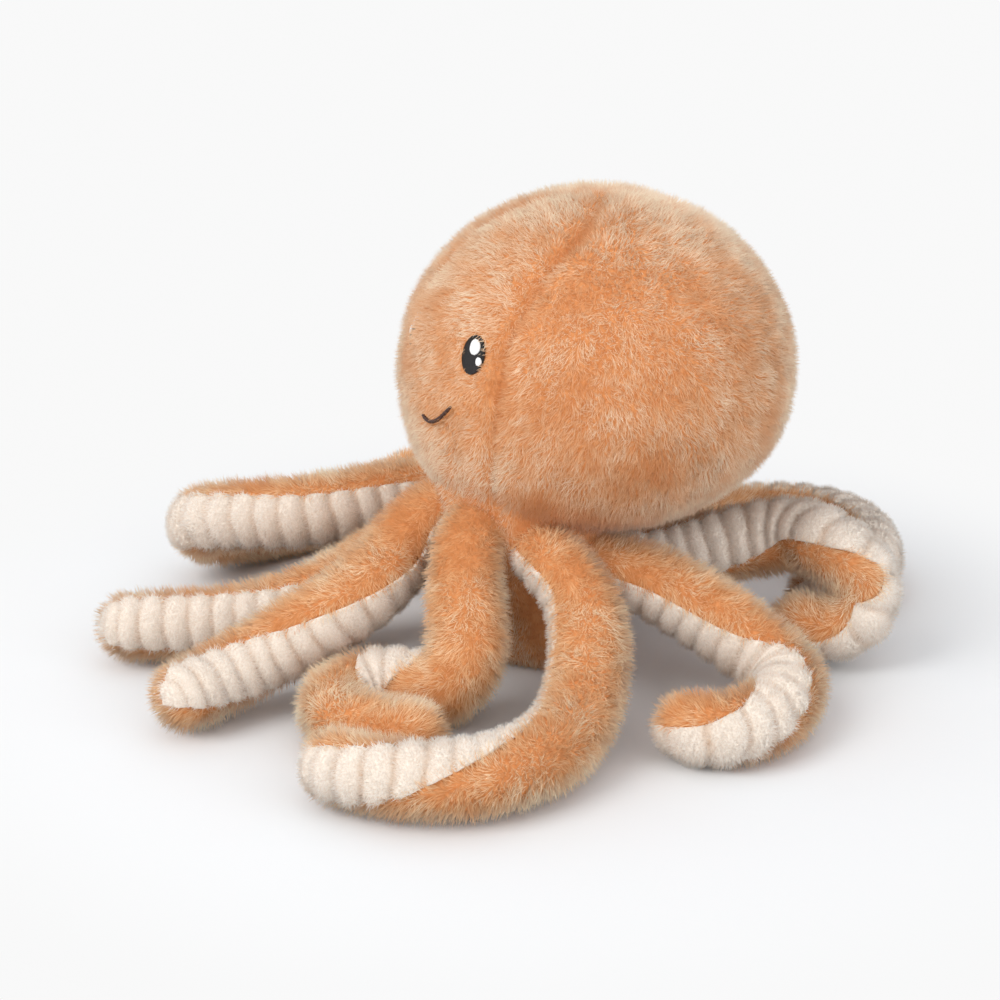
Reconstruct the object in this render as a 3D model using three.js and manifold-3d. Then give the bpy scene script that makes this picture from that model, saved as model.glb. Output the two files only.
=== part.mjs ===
// Plush octopus: a round stuffed head on eight curled arms, orange pile on top
// and cream ribbed cloth underneath. Millimetres, Z up, the face looks to -Y,
// and the origin is the middle of the flat underside of the base.
import * as THREE from "three";
import { mergeVertices } from "three/addons/utils/BufferGeometryUtils.js";
import Module from "manifold-3d";

const wasm = await Module();
wasm.setup();

// Head
const HEAD_RADIUS = 96;
const HEAD_HALF_HEIGHT = 87;
const HEAD_CENTRE_HEIGHT = 141;
const HEAD_SET_BACK = 30;

// Neck, where head, base and arms are sewn together; it slopes down to the back
const NECK_RADIUS = 46;
const NECK_HEIGHT = 79;
const NECK_SLOPE = 17;
const NECK_FORWARD = 14;

// Base
const BASE_RADIUS = 30;
const BAG_HEIGHT = 40;

// Cloth and fits
const CLOTH = 2.5;
const SEAM_GAP = 0.3;
const LAYER_GAP = 0.35;
const FIBRE_GAP = 1.2;
const OVERRUN = 20;

// Arms
const ARM_REACH = 200;
const ARM_ROOT_RADIUS = 16.5;
const ARM_RADIUS = 19;
const ARM_TIP_RADIUS = 17;
const RIB_PITCH = 11.5;
const RIB_DEPTH = 1.6;

// Embroidery
const EYE_WIDTH = 13.5;
const EYE_HEIGHT = 18.5;
const STITCH = 0.9;
const GLINT_WIDTH = 6.2;
const GLINT_HEIGHT = 7.2;
const SPARK_SIZE = 3.8;
const MOUTH_WIDTH = 23;
const MOUTH_DROP = 5;
const MOUTH_THREAD = 0.9;
const FACE_WIDTH_SHARE = 0.94;

// Faces round an arm, and how far its route is eased
const TOP_FACES = 5;
const UNDER_FACES = 3;
const EASING = 2;

// Angles in degrees, measured round the head from the face toward the left arms
const FACE_TURN = -2.5;
const EYE_TURN = 17.5;
const EYE_DOWN_SHARE = 0.606;
const MOUTH_TURN = 3.3;
const MOUTH_DOWN_SHARE = 0.8;
const CREAM_HALF_ANGLE = 56;
const UNDERCUT_FRONT_ANGLE = 118;
const UNDERCUT_BACK_ANGLE = 60;
// The face seam: share of the way from crown to neck, and its turn from the middle
const SEAM_TURN_SHARES = [
  [0, 62], [0.1, 50], [0.29, 35], [0.42, 29], [0.55, 25], [0.67, 25], [0.78, 29], [1, 41],
];

// Each route point: across and back as shares of the reach, lift as a share of
// the neck height over an arm lying flat, and the turn of the orange top.
const ROUTE_SHARES = {
  left_arm_1: [
    22.5,
    [[0.14, -0.335, 0.57, 0], [0.205, -0.365, 0.41, -10], [0.265, -0.405, 0.23, -40],
      [0.275, -0.455, 0.06, -90], [0.22, -0.485, 0, -140], [0.135, -0.525, 0, -185],
      [0.1, -0.61, 0, -240], [0.135, -0.695, 0, -285], [0.22, -0.73, 0, -315], [0.31, -0.705, 0, -335],
      [0.385, -0.64, 0, -335], [0.43, -0.57, 0, -335]],
  ],
  left_arm_2: [
    67.5,
    [[0.265, -0.145, 0.63, -45], [0.34, -0.13, 0.47, -48], [0.425, -0.175, 0.28, -52],
      [0.505, -0.245, 0.13, -60], [0.585, -0.345, 0.04, -80], [0.645, -0.46, 0.03, -105],
      [0.66, -0.595, 0.03, -140], [0.61, -0.725, 0.03, -190], [0.525, -0.805, 0.03, -250],
      [0.445, -0.855, 0.03, -268], [0.36, -0.89, 0.03, -275]],
  ],
  left_arm_3: [
    112.5,
    [[0.28, 0.07, 0.48, -40], [0.375, 0.14, 0.35, -47], [0.48, 0.195, 0.22, -56], [0.575, 0.23, 0.1, -80],
      [0.655, 0.24, 0.03, -130], [0.735, 0.14, 0, -185], [0.77, 0.01, 0, -245], [0.75, -0.08, 0, -292],
      [0.695, -0.115, 0, -312], [0.62, -0.1, 0, -325]],
  ],
  left_arm_4: [
    157.5,
    [[0.135, 0.285, 0.33, -110], [0.22, 0.43, 0.42, -130], [0.34, 0.54, 0.52, -155],
      [0.455, 0.52, 0.53, -165], [0.51, 0.575, 0.43, -200], [0.545, 0.585, 0.25, -250],
      [0.54, 0.545, 0.08, -300], [0.485, 0.475, 0.03, -340], [0.43, 0.43, 0.05, -345],
      [0.385, 0.415, 0.13, -345]],
  ],
  right_arm_4: [
    -157.5,
    [[-0.14, 0.3, 0.24, 30], [-0.19, 0.49, 0.11, 60], [-0.21, 0.67, 0.05, 90], [-0.17, 0.84, 0.04, 120],
      [-0.06, 0.95, 0.06, 140], [0.08, 0.97, 0.06, 150], [0.21, 0.9, 0.04, 135], [0.29, 0.79, 0.01, 115],
      [0.31, 0.67, 0, 105], [0.27, 0.57, 0, 105]],
  ],
  right_arm_3: [
    -112.5,
    [[-0.31, 0.04, 0.51, 64], [-0.43, -0.005, 0.49, 74], [-0.565, -0.365, 0.42, 85],
      [-0.665, -0.46, 0.37, 95], [-0.78, -0.535, 0.3, 102], [-0.84, -0.53, 0.2, 100],
      [-0.885, -0.44, 0.08, 98], [-0.895, -0.31, 0, 95], [-0.89, -0.13, 0, 95], [-0.87, 0.075, 0.09, 100],
      [-0.815, 0.23, 0.24, 110]],
  ],
  right_arm_2: [
    -67.5,
    [[-0.245, -0.31, 0.32, 75], [-0.275, -0.41, 0.2, 85], [-0.295, -0.525, 0.11, 95],
      [-0.34, -0.64, 0.05, 108], [-0.425, -0.79, 0.03, 118], [-0.53, -0.96, 0.03, 122]],
  ],
  right_arm_1: [
    -22.5,
    [[-0.09, -0.35, 0.57, 45], [-0.03, -0.51, 0.42, 56], [-0.055, -0.625, 0.27, 68],
      [-0.085, -0.73, 0.14, 88], [-0.09, -0.86, 0.04, 122], [-0.045, -1.035, 0.03, 150]],
  ],
};

const ORANGE = 0xe3ab77;
const CREAM = 0xe9dccb;
const rad = THREE.MathUtils.degToRad;
const SEAM_ANGLE = Math.PI - rad(CREAM_HALF_ANGLE);
const group = new THREE.Group();

function material(color, roughness) {
  return new THREE.MeshStandardMaterial({ color, roughness, metalness: 0 });
}

function add(name, geometry, color, roughness = 0.95) {
  const mesh = new THREE.Mesh(geometry, material(color, roughness));
  mesh.name = name;
  group.add(mesh);
}

// Triangles between two rows of points; a point met twice closes the face up.
function strip(out, a, b) {
  const ratio = (a.length - 1) / (b.length - 1);
  const face = (p, q, r) => {
    if (p !== q && q !== r && r !== p) out.push(p, q, r);
  };
  for (let i = 0; i + 1 < b.length; i++) {
    for (let k = 0; k < ratio; k++) face(a[i * ratio + k], a[i * ratio + k + 1], b[i]);
    face(a[(i + 1) * ratio], b[i + 1], b[i]);
  }
}

// A closed body between an outer and an inner grid of points, or, with no inner
// grid, the solid that the outer grid wraps. Seen from outside with the rows
// going up the page, the columns run from left to right.
function body(outer, inner, wrapped) {
  const points = [];
  const found = new Map();
  const index = (p) => {
    const key = [p.x, p.y, p.z].map((v) => v.toFixed(4)).join(" ");
    if (!found.has(key)) found.set(key, points.push(p) - 1);
    return found.get(key);
  };
  const ids = (grid) => grid.map((row) => (wrapped ? [...row, row[0]] : row).map(index));
  const triangles = [];
  const join = (pairs, flipped) => {
    const faces = [];
    pairs.forEach(([a, b]) => strip(faces, a, b));
    triangles.push(...(flipped ? faces.reverse() : faces));
  };
  const sheet = (grid) => grid.slice(1).map((row, i) => [grid[i], row]);
  const o = ids(outer);
  join(sheet(o), false);
  if (inner) {
    const n = ids(inner);
    join(sheet(n), true);
    join([[o[0], n[0]]], true);
    join([[o.at(-1), n.at(-1)]], false);
    if (!wrapped) {
      join([[o.map((row) => row[0]), n.map((row) => row[0])]], false);
      join([[o.map((row) => row.at(-1)), n.map((row) => row.at(-1))]], true);
    }
  } else {
    cap(triangles, o[0], index(middle(outer[0])), true);
    cap(triangles, o.at(-1), index(middle(outer.at(-1))), false);
  }
  const g = new THREE.BufferGeometry();
  const flat = new Float32Array(points.flatMap((p) => p.toArray()));
  g.setAttribute("position", new THREE.BufferAttribute(flat, 3));
  g.setIndex(triangles);
  return g;
}

function middle(row) {
  return row.reduce((sum, p) => sum.add(p), new THREE.Vector3()).divideScalar(row.length);
}

function cap(triangles, row, centre, first) {
  for (let i = 0; i + 1 < row.length; i++) {
    const [a, b] = first ? [row[i + 1], row[i]] : [row[i], row[i + 1]];
    if (a !== b && a !== centre && b !== centre) triangles.push(a, b, centre);
  }
}

function solid(geometry) {
  const bare = new THREE.BufferGeometry();
  bare.setAttribute("position", geometry.getAttribute("position").clone());
  if (geometry.index) bare.setIndex(geometry.index.clone());
  const merged = mergeVertices(bare, 1e-4);
  return new wasm.Manifold(new wasm.Mesh({
    numProp: 3,
    vertProperties: new Float32Array(merged.attributes.position.array),
    triVerts: new Uint32Array(merged.index.array),
  }));
}

function geometryOf(manifold) {
  const mesh = manifold.getMesh();
  const g = new THREE.BufferGeometry();
  g.setAttribute("position", new THREE.BufferAttribute(new Float32Array(mesh.vertProperties), 3));
  g.setIndex(new THREE.BufferAttribute(new Uint32Array(mesh.triVerts), 1));
  return g;
}

// The neck ring at a turn from the face
function neck(turn) {
  return new THREE.Vector3(
    NECK_RADIUS * Math.sin(turn),
    -NECK_FORWARD - NECK_RADIUS * Math.cos(turn),
    NECK_HEIGHT + NECK_SLOPE * Math.cos(turn),
  );
}

// The outside of the body: down is 0 at the crown, 1 at the neck, 2 at the base rim
function bodyPoint(turn, down) {
  const ring = neck(turn);
  if (down <= 1) {
    const extra = (UNDERCUT_BACK_ANGLE / 2) * (1 - Math.cos(turn));
    const end = rad(UNDERCUT_FRONT_ANGLE + extra);
    const egg = (dip) => new THREE.Vector3(
      HEAD_RADIUS * Math.sin(dip) * Math.sin(turn),
      HEAD_SET_BACK - HEAD_RADIUS * Math.sin(dip) * Math.cos(turn),
      HEAD_CENTRE_HEIGHT + HEAD_HALF_HEIGHT * Math.cos(dip),
    );
    const pull = THREE.MathUtils.smoothstep(down, 0.62, 1);
    return egg(down * end).add(ring.clone().sub(egg(end)).multiplyScalar(pull));
  }
  const depth = down - 1;
  const spread = (1 - depth ** 2.5) ** 0.4;
  const radius = BASE_RADIUS + (NECK_RADIUS - BASE_RADIUS) * spread;
  const forward = NECK_FORWARD * (1 - depth ** 2);
  const y = -forward - radius * Math.cos(turn);
  return new THREE.Vector3(radius * Math.sin(turn), y, ring.z * (1 - depth));
}

// A point set in from that surface, or out of it where inset is negative
function bodyLayer(turn, down, inset) {
  const step = 0.01;
  const p = bodyPoint(turn, down);
  if (down <= 0) return p.sub(new THREE.Vector3(0, 0, inset));
  if (down >= 2) {
    const inward = new THREE.Vector3(-Math.sin(turn), Math.cos(turn), 0);
    return p.add(inward.multiplyScalar(inset)).setZ(Math.max(inset, 0));
  }
  const below = bodyPoint(turn, Math.min(down + step, 2));
  const along = below.sub(bodyPoint(turn, Math.max(down - step, step)));
  const round = bodyPoint(turn + step, down).sub(bodyPoint(turn - step, down));
  const out = along.cross(round).normalize();
  p.add(out.multiplyScalar(-inset));
  p.z = Math.max(p.z, Math.max(inset, 0));
  return p;
}

function seamTurn(down) {
  const i = Math.max(1, SEAM_TURN_SHARES.findIndex(([share]) => share >= Math.min(down, 1)));
  const [s0, a0] = SEAM_TURN_SHARES[i - 1];
  const [s1, a1] = SEAM_TURN_SHARES[i];
  return rad(a0 + ((a1 - a0) * (Math.min(down, 1) - s0)) / (s1 - s0));
}

const FACE_PANEL_FACES = 6;
const SIDE_PANEL_FACES = 8;
const HEAD_ROW_SHARES = [
  0, 0.08, 0.17, 0.26, 0.35, 0.44, 0.53, 0.61, 0.69, 0.76, 0.83, 0.9, 0.96, 1,
];
const BASE_ROW_SHARES = [1, 1.2, 1.4, 1.6, 1.75, 1.88, 1.96, 2];

// The three head panels share the turns of their columns with every form inside
const PANELS = {
  face_panel: (seam, share) => -seam + 2 * seam * share,
  left_side_panel: (seam, share) => seam + (Math.PI - seam) * share,
  right_side_panel: (seam, share) => Math.PI + (Math.PI - seam) * share,
};

function panelRow(panel, columns, down, inset, gap) {
  const seam = seamTurn(down);
  const row = [];
  for (let j = 0; j <= columns; j++) {
    let turn = PANELS[panel](seam, j / columns);
    const ends = (j === 0 ? 1 : 0) - (j === columns ? 1 : 0);
    const wide = Math.hypot(bodyPoint(turn, down).x, bodyPoint(turn, down).y - HEAD_SET_BACK);
    if (ends && down > 0) turn += (ends * gap) / 2 / Math.max(wide, NECK_RADIUS / 2);
    row.push(bodyLayer(turn, down, inset));
  }
  return row;
}

function fullRow(down, inset) {
  return [
    ...panelRow("face_panel", FACE_PANEL_FACES, down, inset, 0).slice(0, -1),
    ...panelRow("left_side_panel", SIDE_PANEL_FACES, down, inset, 0).slice(0, -1),
    ...panelRow("right_side_panel", SIDE_PANEL_FACES, down, inset, 0).slice(0, -1),
  ];
}

function filledBody(inset) {
  const rows = [...HEAD_ROW_SHARES, ...BASE_ROW_SHARES.slice(1)].map((down) => fullRow(down, inset));
  return solid(body(rows.reverse(), null, true));
}

// The edge row of a piece sewn into the neck seam, drawn half a gap back from it
function hem(row, side) {
  return row.map((p) => p.setZ(p.z + (side * SEAM_GAP) / 2));
}

function makeHead() {
  for (const panel of Object.keys(PANELS)) {
    const columns = panel === "face_panel" ? FACE_PANEL_FACES : SIDE_PANEL_FACES;
    const rows = (inset) => HEAD_ROW_SHARES.map((down) =>
      hem(panelRow(panel, columns, down, inset, SEAM_GAP), down === 1 ? 1 : 0));
    add(panel, body(rows(0).reverse(), rows(CLOTH).reverse(), false), ORANGE);
  }
}

function makeBase() {
  const rows = (inset) => [
    ...BASE_ROW_SHARES.map((down) => hem(fullRow(down, inset), down === 1 ? -1 : 0)),
    fullRow(2, inset).map(() => new THREE.Vector3(0, 0, inset)),
  ];
  add("base_panel", body(rows(0).reverse(), rows(CLOTH).reverse(), true), ORANGE);
}

// The stuffing fills the head down to a bag of pellets that weighs the base
function makeFilling() {
  const size = (HEAD_RADIUS + OVERRUN) * 4;
  const below = new THREE.BoxGeometry(size, size, size).translate(0, 0, BAG_HEIGHT - size / 2);
  const above = new THREE.BoxGeometry(size, size, size).translate(0, 0, BAG_HEIGHT + LAYER_GAP + size / 2);
  const inside = filledBody(CLOTH + LAYER_GAP);
  add("head_stuffing", geometryOf(inside.intersect(solid(above))), 0xf4f2ee);
  add("pellet_bag", geometryOf(inside.intersect(solid(below))), 0xd9d6d0);
}

// How far the surface runs for a whole share down the head
function drop(turn, down) {
  const step = 0.05;
  return bodyPoint(turn, down - step).distanceTo(bodyPoint(turn, down + step)) / (2 * step);
}

// A sewn patch that follows the head: an oval of stitches round a middle point
function patch(turn, down, width, height, across, up, lift) {
  const wide = HEAD_RADIUS * FACE_WIDTH_SHARE;
  const tall = drop(turn, down);
  const ringAt = (ring, offset) => Array.from({ length: 10 }, (_, i) => {
    const angle = (i * Math.PI) / 5;
    const u = across + (width / 2) * ring * Math.cos(angle);
    const v = up + (height / 2) * ring * Math.sin(angle);
    return bodyLayer(turn + u / wide, down - v / tall, -offset);
  });
  const rows = (offset) => [0, 0.6, 1].map((ring) => ringAt(ring, offset));
  return body(rows(lift + STITCH).reverse(), rows(lift).reverse(), true);
}

function makeFace() {
  for (const [side, sign] of [["left", 1], ["right", -1]]) {
    const turn = rad(FACE_TURN + sign * EYE_TURN);
    const over = LAYER_GAP + STITCH + LAYER_GAP;
    add(side + "_eye", patch(turn, EYE_DOWN_SHARE, EYE_WIDTH, EYE_HEIGHT, 0, 0, LAYER_GAP), 0x17110f, 0.5);
    const glintUp = EYE_HEIGHT * 0.2;
    add(side + "_eye_glint",
      patch(turn, EYE_DOWN_SHARE, GLINT_WIDTH, GLINT_HEIGHT, 0, glintUp, over), 0xf5f3f1, 0.5);
    add(side + "_eye_spark",
      patch(turn, EYE_DOWN_SHARE, SPARK_SIZE, SPARK_SIZE, sign * EYE_WIDTH * 0.28, -EYE_HEIGHT * 0.11, over),
      0xf5f3f1, 0.5);
  }
  makeMouth();
}

// The smile: one thread laid on the face panel in a shallow curve
function makeMouth() {
  const steps = 10;
  const wide = HEAD_RADIUS * FACE_WIDTH_SHARE;
  const tall = drop(0, MOUTH_DOWN_SHARE);
  const at = (share, lift) => {
    const side = 2 * share - 1;
    const turn = rad(MOUTH_TURN) + (side * MOUTH_WIDTH) / 2 / wide;
    return bodyLayer(turn, MOUTH_DOWN_SHARE - (side * side * MOUTH_DROP) / tall, -lift);
  };
  const rows = Array.from({ length: steps + 1 }, (_, i) => {
    const share = i / steps;
    const centre = at(share, LAYER_GAP + MOUTH_THREAD);
    const out = centre.clone().sub(at(share, 0)).normalize();
    const along = at(share + 0.02, 0).sub(at(share - 0.02, 0)).normalize();
    const side = along.clone().cross(out).normalize();
    return Array.from({ length: 6 }, (_, k) => {
      const angle = (k * Math.PI) / 3;
      return centre.clone()
        .add(out.clone().multiplyScalar(MOUTH_THREAD * Math.cos(angle)))
        .add(side.clone().multiplyScalar(MOUTH_THREAD * Math.sin(angle)));
    });
  });
  add("mouth", body(rows, null, true), 0x3a221c, 0.6);
}

// Stuffed cloth makes no sharp bends: each point moves half way to its neighbours
function eased(points) {
  let row = points;
  for (let pass = 0; pass < EASING; pass++) {
    row = row.map((p, i) => (i && i + 1 < row.length
      ? p.clone().multiplyScalar(2).add(row[i - 1]).add(row[i + 1]).multiplyScalar(0.25) : p));
  }
  return row;
}

// An arm's centreline with its radius and the turn of its orange top
class Arm {
  constructor(turn, shares) {
    const root = neck(turn);
    const out = new THREE.Vector3(Math.sin(turn), -Math.cos(turn), 0);
    root.z -= ARM_ROOT_RADIUS + SEAM_GAP;
    const inside = root.clone().sub(out.clone().multiplyScalar(OVERRUN));
    inside.z += NECK_SLOPE / 4;
    const points = shares.map(([x, y, lift]) =>
      new THREE.Vector3(x * ARM_REACH, y * ARM_REACH, ARM_TIP_RADIUS + lift * NECK_HEIGHT));
    const turns = [shares[0], shares[0], ...shares].map((share) => share[3]);
    const rolls = turns.map((turned) => new THREE.Vector3(rad(turned), 0, 0));
    const chosen = new THREE.CatmullRomCurve3([inside, root, ...points], false, "centripetal");
    const rolled = new THREE.CatmullRomCurve3(rolls, false, "catmullrom", 0.5);
    const count = Math.round(chosen.getLength() / RIB_PITCH);
    const ts = Array.from({ length: count + 1 }, (_, i) => chosen.getUtoTmapping(i / count));
    const softened = (curve) => eased(ts.map((t) => curve.getPoint(t)));
    this.route = new THREE.CatmullRomCurve3(softened(chosen), false, "centripetal");
    this.twist = new THREE.CatmullRomCurve3(softened(rolled), false, "catmullrom", 0.5);
    this.route.arcLengthDivisions = 400;
    this.length = this.route.getLength();
    this.ribs = Math.round((this.length - ARM_TIP_RADIUS) / RIB_PITCH);
  }

  radius(along) {
    const share = along / this.length;
    const swell = THREE.MathUtils.smoothstep(share, 0.05, 0.3);
    const taper = THREE.MathUtils.smoothstep(share, 0.35, 1);
    return ARM_ROOT_RADIUS + (ARM_RADIUS - ARM_ROOT_RADIUS) * swell - (ARM_RADIUS - ARM_TIP_RADIUS) * taper;
  }

  frame(along) {
    const t = this.route.getUtoTmapping(THREE.MathUtils.clamp(along / this.length, 0, 1));
    const tangent = this.route.getTangent(t);
    const side = tangent.clone().cross(new THREE.Vector3(0, 0, 1)).normalize();
    const up = side.clone().cross(tangent);
    const roll = this.twist.getPoint(t).x;
    const top = up.multiplyScalar(Math.cos(roll)).add(side.multiplyScalar(Math.sin(roll)));
    const reach = RIB_PITCH * 0.75;
    const before = this.route.getTangentAt(Math.max(0, (along - reach) / this.length));
    const after = this.route.getTangentAt(Math.min(1, (along + reach) / this.length));
    const bend = after.sub(before).divideScalar(2 * reach);
    return { centre: this.route.getPoint(t), top, across: tangent.clone().cross(top), bend };
  }

  // One ring of points: row counts ribs from the root, the last three rounding the tip
  ring(row, angles, inset) {
    const straight = this.length - ARM_TIP_RADIUS;
    const dome = Math.max(0, row - this.ribs) * (Math.PI / 6);
    const along = Math.min(row / this.ribs, 1) * straight;
    const radius = this.radius(along) - inset;
    const f = this.frame(along + radius * Math.sin(dome));
    return angles.map((angle) => {
      const aside = f.across.clone().multiplyScalar(Math.sin(angle));
      const out = f.top.clone().multiplyScalar(Math.cos(angle)).add(aside);
      const tight = Math.max(out.dot(f.bend), 1e-6);
      const reach = Math.min(radius, 0.85 / tight - inset) * Math.cos(dome);
      const p = f.centre.clone().add(out.multiplyScalar(Math.max(reach, 0)));
      p.z = Math.max(p.z, inset * 0.8);
      return p;
    });
  }

  rows() {
    return Array.from({ length: this.ribs + 4 }, (_, i) => i);
  }
}

// Turns of the columns round an arm, from one seam to the other
function columns(from, to, count, trim) {
  return Array.from({ length: count + 1 }, (_, i) => {
    const ends = (i === 0 ? 1 : 0) - (i === count ? 1 : 0);
    return from + ((to - from) * i) / count + ends * trim;
  });
}

// The orange upper side of an arm
function armTop(arm, spare = 0) {
  const trim = SEAM_GAP / ARM_TIP_RADIUS;
  const angles = columns(-SEAM_ANGLE, SEAM_ANGLE, TOP_FACES, trim);
  const rows = (inset) => arm.rows().map((row) => arm.ring(row, angles, inset));
  return body(rows(0), rows(CLOTH + spare), false);
}

// The cream underside: a rib on every row, and a furrow between each two
function armUnderside(arm, spare = 0) {
  const trim = SEAM_GAP / ARM_TIP_RADIUS;
  const angles = columns(SEAM_ANGLE, 2 * Math.PI - SEAM_ANGLE, UNDER_FACES, trim);
  const crests = arm.rows().map((row) => arm.ring(row, angles, 0));
  const backs = arm.rows().map((row) => arm.ring(row, angles, CLOTH + spare));
  const ribbed = [crests[0]];
  for (let i = 1; i < crests.length; i++) {
    const depth = RIB_DEPTH * (i > arm.ribs + 1 ? 0 : 1);
    ribbed.push(crests[i].map((p, j) => {
      const outward = p.clone().add(crests[i - 1][j]).sub(backs[i][j]).sub(backs[i - 1][j]).normalize();
      const half = j === 0 || j === UNDER_FACES ? 0.5 : 1;
      return p.clone().add(crests[i - 1][j]).multiplyScalar(0.5).sub(outward.multiplyScalar(depth * half));
    }));
    ribbed.push(crests[i]);
  }
  return body(ribbed, backs, false);
}

// The fibre inside an arm
function armStuffing(arm) {
  const angles = [
    ...columns(-SEAM_ANGLE, SEAM_ANGLE, TOP_FACES, 0),
    ...columns(SEAM_ANGLE, 2 * Math.PI - SEAM_ANGLE, UNDER_FACES, 0).slice(1, -1),
  ];
  const rows = arm.rows().map((row) => arm.ring(row, angles, CLOTH + FIBRE_GAP));
  return body(rows, null, true);
}

// Arms start inside the body and are cut off where they meet it
function makeArms() {
  const cutter = filledBody(-LAYER_GAP);
  for (const [name, [turn, shares]] of Object.entries(ROUTE_SHARES)) {
    const arm = new Arm(rad(turn), shares);
    const cut = (geometry) => geometryOf(solid(geometry).subtract(cutter));
    add(name + "_top", cut(armTop(arm)), ORANGE);
    add(name + "_underside", cut(armUnderside(arm)), CREAM);
    const cloths = solid(armTop(arm, LAYER_GAP)).add(solid(armUnderside(arm, LAYER_GAP)));
    const fibre = solid(armStuffing(arm)).subtract(cloths).subtract(cutter);
    add(name + "_stuffing", geometryOf(fibre), 0xf4f2ee);
  }
}

makeHead();
makeBase();
makeFilling();
makeFace();
makeArms();

export default group;
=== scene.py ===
import math

import bmesh
import bpy
import numpy as np
from mathutils import Matrix, Vector


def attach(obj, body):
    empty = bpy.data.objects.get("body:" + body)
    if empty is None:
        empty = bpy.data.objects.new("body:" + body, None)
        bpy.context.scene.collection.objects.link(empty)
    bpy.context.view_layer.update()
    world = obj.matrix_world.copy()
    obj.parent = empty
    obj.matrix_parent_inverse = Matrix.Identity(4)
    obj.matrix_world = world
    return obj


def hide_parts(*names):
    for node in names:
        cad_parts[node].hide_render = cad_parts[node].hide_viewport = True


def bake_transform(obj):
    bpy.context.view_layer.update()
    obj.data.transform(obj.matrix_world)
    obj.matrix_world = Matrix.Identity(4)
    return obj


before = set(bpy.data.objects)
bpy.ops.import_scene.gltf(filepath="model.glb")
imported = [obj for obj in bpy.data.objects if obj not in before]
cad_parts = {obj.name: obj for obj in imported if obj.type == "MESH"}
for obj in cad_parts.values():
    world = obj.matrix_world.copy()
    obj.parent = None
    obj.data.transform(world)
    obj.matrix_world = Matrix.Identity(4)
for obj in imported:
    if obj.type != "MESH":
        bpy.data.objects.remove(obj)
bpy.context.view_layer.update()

# Camera and studio
# A plain pale floor, a wide soft lamp from the upper left and an even sky,
# seen with a long lens from the toy's left front, a little above it.

CAMERA_TURN, CAMERA_TILT = math.radians(55.5), math.radians(21)
CAMERA_DISTANCE, CAMERA_LENS = 1.18, 85
AIM_ACROSS, AIM_UP = -0.022, 0.072
TOY_MIDDLE = Vector((0, 0, 0.1))
KEY_TINT, FILL_TINT, SKY_TINT = (1.0, 0.985, 0.965), (0.96, 0.98, 1.0), (0.97, 0.98, 1.0, 1)
SKY_STRENGTH = 0.95
PLAIN_WHITE = (0.945, 0.945, 0.945, 1)
FLOOR_PAPER = (0.74, 0.75, 0.76, 1)
FLOOR_HALF = 6
SHADOW_REACH, WHITE_REACH = 0.18, 0.36

right = Vector((math.cos(CAMERA_TURN), math.sin(CAMERA_TURN), 0))
back = Vector((math.sin(CAMERA_TURN) * math.cos(CAMERA_TILT),
               -math.cos(CAMERA_TURN) * math.cos(CAMERA_TILT), math.sin(CAMERA_TILT)))
up = back.cross(right)


def put(name, data):
    """A new object in the scene."""
    placed = bpy.data.objects.new(name, data)
    bpy.context.scene.collection.objects.link(placed)
    return placed


camera_data = bpy.data.cameras.new("camera")
camera_data.lens = CAMERA_LENS
camera = put("camera", camera_data)
axes = Matrix((right, up, back)).transposed().to_4x4()
camera.matrix_world = Matrix.Translation(right * AIM_ACROSS + up * AIM_UP + back * CAMERA_DISTANCE) @ axes
bpy.context.scene.camera = camera
bpy.context.scene.view_settings.view_transform = "Standard"


def place_lamp(name, energy, size, side, height, depth, tint):
    """A square soft lamp that looks at the middle of the toy."""
    data = bpy.data.lights.new(name, "AREA")
    data.energy = energy
    data.size = size
    data.color = tint
    lamp = put(name, data)
    spot = right * side + Vector((0, 0, height)) + Vector((back.x, back.y, 0)).normalized() * depth
    aim = (TOY_MIDDLE - spot).to_track_quat("-Z", "Y")
    lamp.matrix_world = Matrix.Translation(spot) @ aim.to_matrix().to_4x4()


place_lamp("key_lamp", energy=28, size=1.3, side=-1.5, height=1.8, depth=0.8, tint=KEY_TINT)
place_lamp("fill_lamp", energy=12, size=1.8, side=1.3, height=0.55, depth=1.3, tint=FILL_TINT)


def add_node(tree, kind, values=(), **settings):
    """A node with its settings, and with fixed values on some of its sockets."""
    node = tree.nodes.new(kind)
    for label, setting in settings.items():
        setattr(node, label, setting)
    for socket, value in dict(values).items():
        node.inputs[socket].default_value = value
    return node


def seen_ray(tree):
    """1 where a ray comes from the camera, straight, mirrored or through glass, and 0 for light."""
    ray = tree.nodes.new("ShaderNodeLightPath")
    total = ray.outputs["Is Camera Ray"]
    for label in ("Is Glossy Ray", "Is Transmission Ray"):
        either = add_node(tree, "ShaderNodeMath", operation="MAXIMUM")
        tree.links.new(total, either.inputs[0])
        tree.links.new(ray.outputs[label], either.inputs[1])
        total = either.outputs[0]
    return total


def mix_shaders(tree, share, first, second, output):
    """Shows the first shader, and by the share the second one."""
    mix = tree.nodes.new("ShaderNodeMixShader")
    for number, source in enumerate((share, first.outputs[0], second.outputs[0])):
        tree.links.new(source, mix.inputs[number])
    tree.links.new(mix.outputs[0], output.inputs["Surface"])


sky = bpy.data.worlds.new("studio")
bpy.context.scene.world = sky
sky.use_nodes = True
sky.node_tree.nodes.clear()
sky_light = add_node(sky.node_tree, "ShaderNodeBackground", {"Color": SKY_TINT, "Strength": SKY_STRENGTH})
sky_white = add_node(sky.node_tree, "ShaderNodeBackground", {"Color": PLAIN_WHITE, "Strength": 1.0})
sky_out = sky.node_tree.nodes.new("ShaderNodeOutputWorld")
mix_shaders(sky.node_tree, seen_ray(sky.node_tree), sky_light, sky_white, sky_out)


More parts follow.
